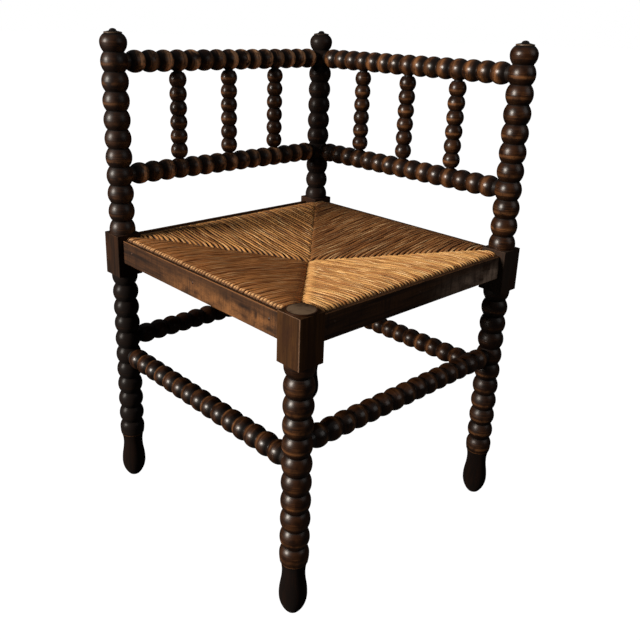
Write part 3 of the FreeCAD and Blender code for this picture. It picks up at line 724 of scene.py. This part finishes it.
def wound_side(side, first_end, second_end, shoulder_radius, swollen, seed):
    """All strands of one side, swept as curves and made into one mesh, with each strand's length as a pattern.

    first_end and second_end say how the strands of each half end at their diagonal, and swollen how much thicker
    those that ride over get there."""
    chance = random.Random(seed)
    curve = bpy.data.curves.new("rush_" + side, "CURVE")
    curve.dimensions = "3D"
    curve.twist_mode = "MINIMUM"
    curve.bevel_mode = "OBJECT"
    curve.bevel_object = section
    tones = []
    lengths = []
    ends = []
    skins = []
    gap = (2.0 * seat_half - 2.0 * strand_first) / (strand_count - 1)
    for index in range(strand_count):
        along = -seat_half + strand_first + gap * index
        reach = seat_half - abs(along)
        end = first_end if along < 0 else second_end
        route = strand_route(reach, shoulder_radius, **strand_ends[end])
        tone = chance.random()
        twist = chance.uniform(0.0, 6.28)
        pitch = chance.uniform(0.14, 0.30)
        full = chance.uniform(0.97, 1.08)
        shift = chance.uniform(-0.0004, 0.0004)
        spline = curve.splines.new("POLY")
        spline.points.add(len(route) - 1)
        spline.use_smooth = True
        travelled = 0.0
        before = None
        for number, (out, height) in enumerate(route):
            wander = Vector((out * 30.0 + seed, index * 0.8, height * 22.0))
            sideways = sideways_wander * noise.noise(wander) + shift
            lifted = upward_wander * noise.noise(wander + Vector((0.0, 57.0, 0.0)))
            if abs(out - route[0][0]) < steady_start or number > len(route) - 3:
                lifted = 0.0
            here = side_place(side, out, along + sideways, height + lifted)
            if before is not None:
                travelled += (here - before).length
            before = here
            lengths.append(travelled)
            tones.append(tone)
            ahead = Vector(route[min(number + 1, len(route) - 1)]) - Vector(route[max(number - 1, 0)])
            skin_out, skin_up = Vector((ahead.y, -ahead.x)).normalized()
            skins.append((here, side_place(side, skin_out - seat_half, 0.0, skin_up)))
            on_top = number > len(route) // 2
            near_end = max(0.0, 1.0 - (out + reach) / swollen_length) if on_top else 0.0
            ends.append(min(1.0, near_end) if end == "over" else 0.0)
            swell = swelling * noise.noise(wander * 1.7 + Vector((0.0, 0.0, 91.0)))
            taper = tip_taper if number == len(route) - 1 else 1.0
            point = spline.points[number]
            point.co = (*here, 1.0)
            point.tilt = twist + 2.0 * math.pi * travelled / pitch
            point.radius = full * (1.0 + swell + swollen * ends[-1]) * taper
    strands = bpy.data.objects.new("rush_" + side, curve)
    scene.collection.objects.link(strands)
    bpy.ops.object.select_all(action="DESELECT")
    strands.select_set(True)
    bpy.context.view_layer.objects.active = strands
    bpy.ops.object.convert(target="MESH")
    strands = bpy.context.active_object
    mesh = strands.data
    places = []
    for tone, travelled in zip(tones, lengths):
        for corner in range(section_points):
            angle = 2.0 * math.pi * corner / section_points
            across = pattern_radius * math.cos(angle) + pattern_shift * tone
            places += [across, pattern_radius * math.sin(angle) + tone, travelled]
    crests = []
    for index, vertex in enumerate(mesh.vertices):
        middle, skin = skins[index // section_points]
        crests.append((vertex.co - middle).normalized().dot(skin))
    for attribute, kind, key, values in (
        ("strand_place", "FLOAT_VECTOR", "vector", places),
        ("strand_tone", "FLOAT", "value", [tone for tone in tones for corner in range(section_points)]),
        ("strand_crest", "FLOAT", "value", crests),
        ("strand_end", "FLOAT", "value", [end for end in ends for corner in range(section_points)]),
    ):
        mesh.attributes.new(attribute, kind, "POINT").data.foreach_set(key, values)
    bpy.ops.object.mode_set(mode="EDIT")
    bpy.ops.mesh.select_all(action="SELECT")
    bpy.ops.mesh.fill_holes(sides=section_points)
    bpy.ops.mesh.normals_make_consistent(inside=False)
    bpy.ops.object.mode_set(mode="OBJECT")
    bpy.ops.object.shade_smooth()
    return strands


tip_fade = (-0.0010, 0.0020)
turned_down_fade = (0.0034, 0.0056)
# Colour of the painted highlights on the rush.
rush_painted_highlight = (1.0, 0.68, 0.34, 1.0)
# Colour of the painted shadow that the strip casts on the strands turned down over the rail.
rush_edge_shadow = (0.035, 0.014, 0.006, 1.0)


def rush_finish(name, straw, brown, deep, straw_and_highlight_share, shade, lit_width, edge_shade, tip_highlight_and_shade):
    """Dry rush: long fibres along each strand, every strand of its own tone, painted highlight streaks along the
    fibres and painted shade on the strands' flanks.

    straw_and_highlight_share is how much bright straw shows among the fibres and how strong the painted highlight
    streaks are, shade how deep the painted flank shade goes, and lit_width how wide a strip of a strand's back stays
    clear of it. Over the rail, edge_shade is how dark the strands are painted in the strip's shadow, and
    tip_highlight_and_shade how strong the painted highlight is where they round over it, with painted shade on their
    flanks there."""
    finish, shelf, surface, place = new_finish(name)
    strand_place = shelf.add("Attribute", {"attribute_name": "strand_place"}).outputs["Vector"]
    tone, crest, end = [
        shelf.add("Attribute", {"attribute_name": attribute}).outputs["Fac"]
        for attribute in ("strand_tone", "strand_crest", "strand_end")
    ]
    fibres = shelf.drawn_noise(strand_place, (1100.0, 1100.0, 9.0), detail=3.0)
    flecks = shelf.drawn_noise(strand_place, (420.0, 420.0, 13.0), detail=2.0)
    pale = shelf.drawn_noise(strand_place, (900.0, 900.0, 16.0), detail=2.0)
    clouds = shelf.noise(place, 16.0, detail=3.0, roughness=0.55)
    colour = shelf.mixed(shelf.between(tone, -0.1, 1.0), brown, straw)
    colour = shelf.mixed(shelf.between(clouds, 0.40, 0.64), colour, brown, strength=0.4)
    colour = shelf.mixed(shelf.between(fibres, 0.50, 0.66), colour, deep, strength=0.5)
    colour = shelf.mixed(shelf.between(flecks, 0.54, 0.64), colour, straw, strength=straw_and_highlight_share)
    colour = shelf.mixed(end, colour, straw, strength=0.7)
    # Painted highlight: thin light streaks along the fibres.
    colour = shelf.mixed(shelf.between(pale, 0.57, 0.67), colour, rush_painted_highlight, strength=straw_and_highlight_share * 1.4)
    sides = shelf.add("SeparateXYZ", None, Vector=shelf.vector("ABSOLUTE", place)).outputs
    from_centre = shelf.maths("MAXIMUM", sides["X"], sides["Y"])
    # Painted highlight on the strands where they round over the rail, with painted shade on their flanks there.
    tips = shelf.faded(from_centre, seat_half, tip_fade)
    colour = shelf.mixed(tips, colour, rush_painted_highlight, strength=tip_highlight_and_shade)
    # Painted shadow: the strands turned down over the rail go dark, as the strip shades them.
    turned_down = shelf.faded(from_centre, seat_half, turned_down_fade)
    colour = shelf.mixed(turned_down, colour, rush_edge_shadow, strength=edge_shade)
    flanks = shelf.between(crest, 1.0 - lit_width, 0.55 - lit_width)
    tip_flanks = shelf.times(tips, shelf.between(crest, 0.97, 0.70))
    flanks = shelf.maths("MAXIMUM", flanks, shelf.times(tip_flanks, min(1.0, 2.0 * tip_highlight_and_shade)))
    colour = shelf.mixed(flanks, colour, deep, strength=shade)
    lay_on(shelf, surface, colour, shelf.between(fibres, -0.6, 1.0), fibres, bump=0.6, depth=0.0005)
    surface["Specular IOR Level"].default_value = 0.35
    return finish


# The four sides differ in colour: in part the rush's own tone, in part painted light and shade, with the front right
# painted the lightest and the back right the darkest.
for side, winding, look in (
    ("front_right",
     dict(first_end="over", second_end="over", shoulder_radius=0.008, swollen=0.04, seed=101),
     dict(straw=(0.81, 0.445, 0.150, 1.0), brown=(0.38, 0.150, 0.038, 1.0), deep=(0.20, 0.072, 0.022, 1.0),
          straw_and_highlight_share=0.65, shade=0.80, lit_width=0.16, edge_shade=0.5, tip_highlight_and_shade=0.0)),
    ("back_right",
     dict(first_end="under", second_end="meet", shoulder_radius=0.012, swollen=0.0, seed=103),
     dict(straw=(0.39, 0.160, 0.045, 1.0), brown=(0.175, 0.060, 0.015, 1.0), deep=(0.05, 0.017, 0.006, 1.0),
          straw_and_highlight_share=0.5, shade=0.9, lit_width=0.18, edge_shade=0.5, tip_highlight_and_shade=0.0)),
    ("back_left",
     dict(first_end="meet", second_end="over", shoulder_radius=0.024, swollen=0.12, seed=107),
     dict(straw=(0.71, 0.335, 0.100, 1.0), brown=(0.27, 0.094, 0.023, 1.0), deep=(0.040, 0.0125, 0.0045, 1.0),
          straw_and_highlight_share=0.5, shade=1.0, lit_width=0.08, edge_shade=0.5, tip_highlight_and_shade=0.0)),
    ("front_left",
     dict(first_end="under", second_end="under", shoulder_radius=0.0065, swollen=0.0, seed=109),
     dict(straw=(0.67, 0.272, 0.076, 1.0), brown=(0.41, 0.145, 0.036, 1.0), deep=(0.14, 0.042, 0.013, 1.0),
          straw_and_highlight_share=0.5, shade=0.85, lit_width=0.16, edge_shade=0.9, tip_highlight_and_shade=0.34)),
):
    strands = wound_side(side, **winding)
    strands.data.materials.clear()
    strands.data.materials.append(rush_finish("rush_" + side, **look))
    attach(strands, "root")
    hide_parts("rush_seat")
bpy.data.objects.remove(section)


# Rush packing: broken rush that the weaver stuffs between the strands above and below as the seat is wound. It
# fills the seat out inside the four seat rails, and keeps the light from showing through between the strands.
packing_half = 0.1945
packing_cells = 48
packing_thickness = 0.0060
packing_clearance = 0.0008
packing_dark = (0.020, 0.008, 0.003, 1.0)
packing_brown = (0.090, 0.038, 0.014, 1.0)
bpy.ops.mesh.primitive_grid_add(x_subdivisions=packing_cells, y_subdivisions=packing_cells, size=2.0 * packing_half)
packing = bpy.context.active_object
packing.name = "rush_packing"
for vertex in packing.data.vertices:
    out = max(abs(vertex.co.x), abs(vertex.co.y)) - seat_half
    vertex.co.z = top_height(out, 0.0) - strand_high - packing_clearance
packing.modifiers.new("thickness", "SOLIDIFY").thickness = packing_thickness
bpy.ops.object.modifier_apply(modifier="thickness")
bpy.ops.object.shade_smooth()
finish, shelf, surface, place = new_finish("broken_rush")
broken = shelf.noise(place, 400.0, detail=3.0)
shelf.link(shelf.mixed(shelf.between(broken, 0.35, 0.65), packing_dark, packing_brown), surface["Base Color"])
surface["Roughness"].default_value = 0.9
packing.data.materials.append(finish)
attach(packing, "root")
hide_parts("rush_seat")
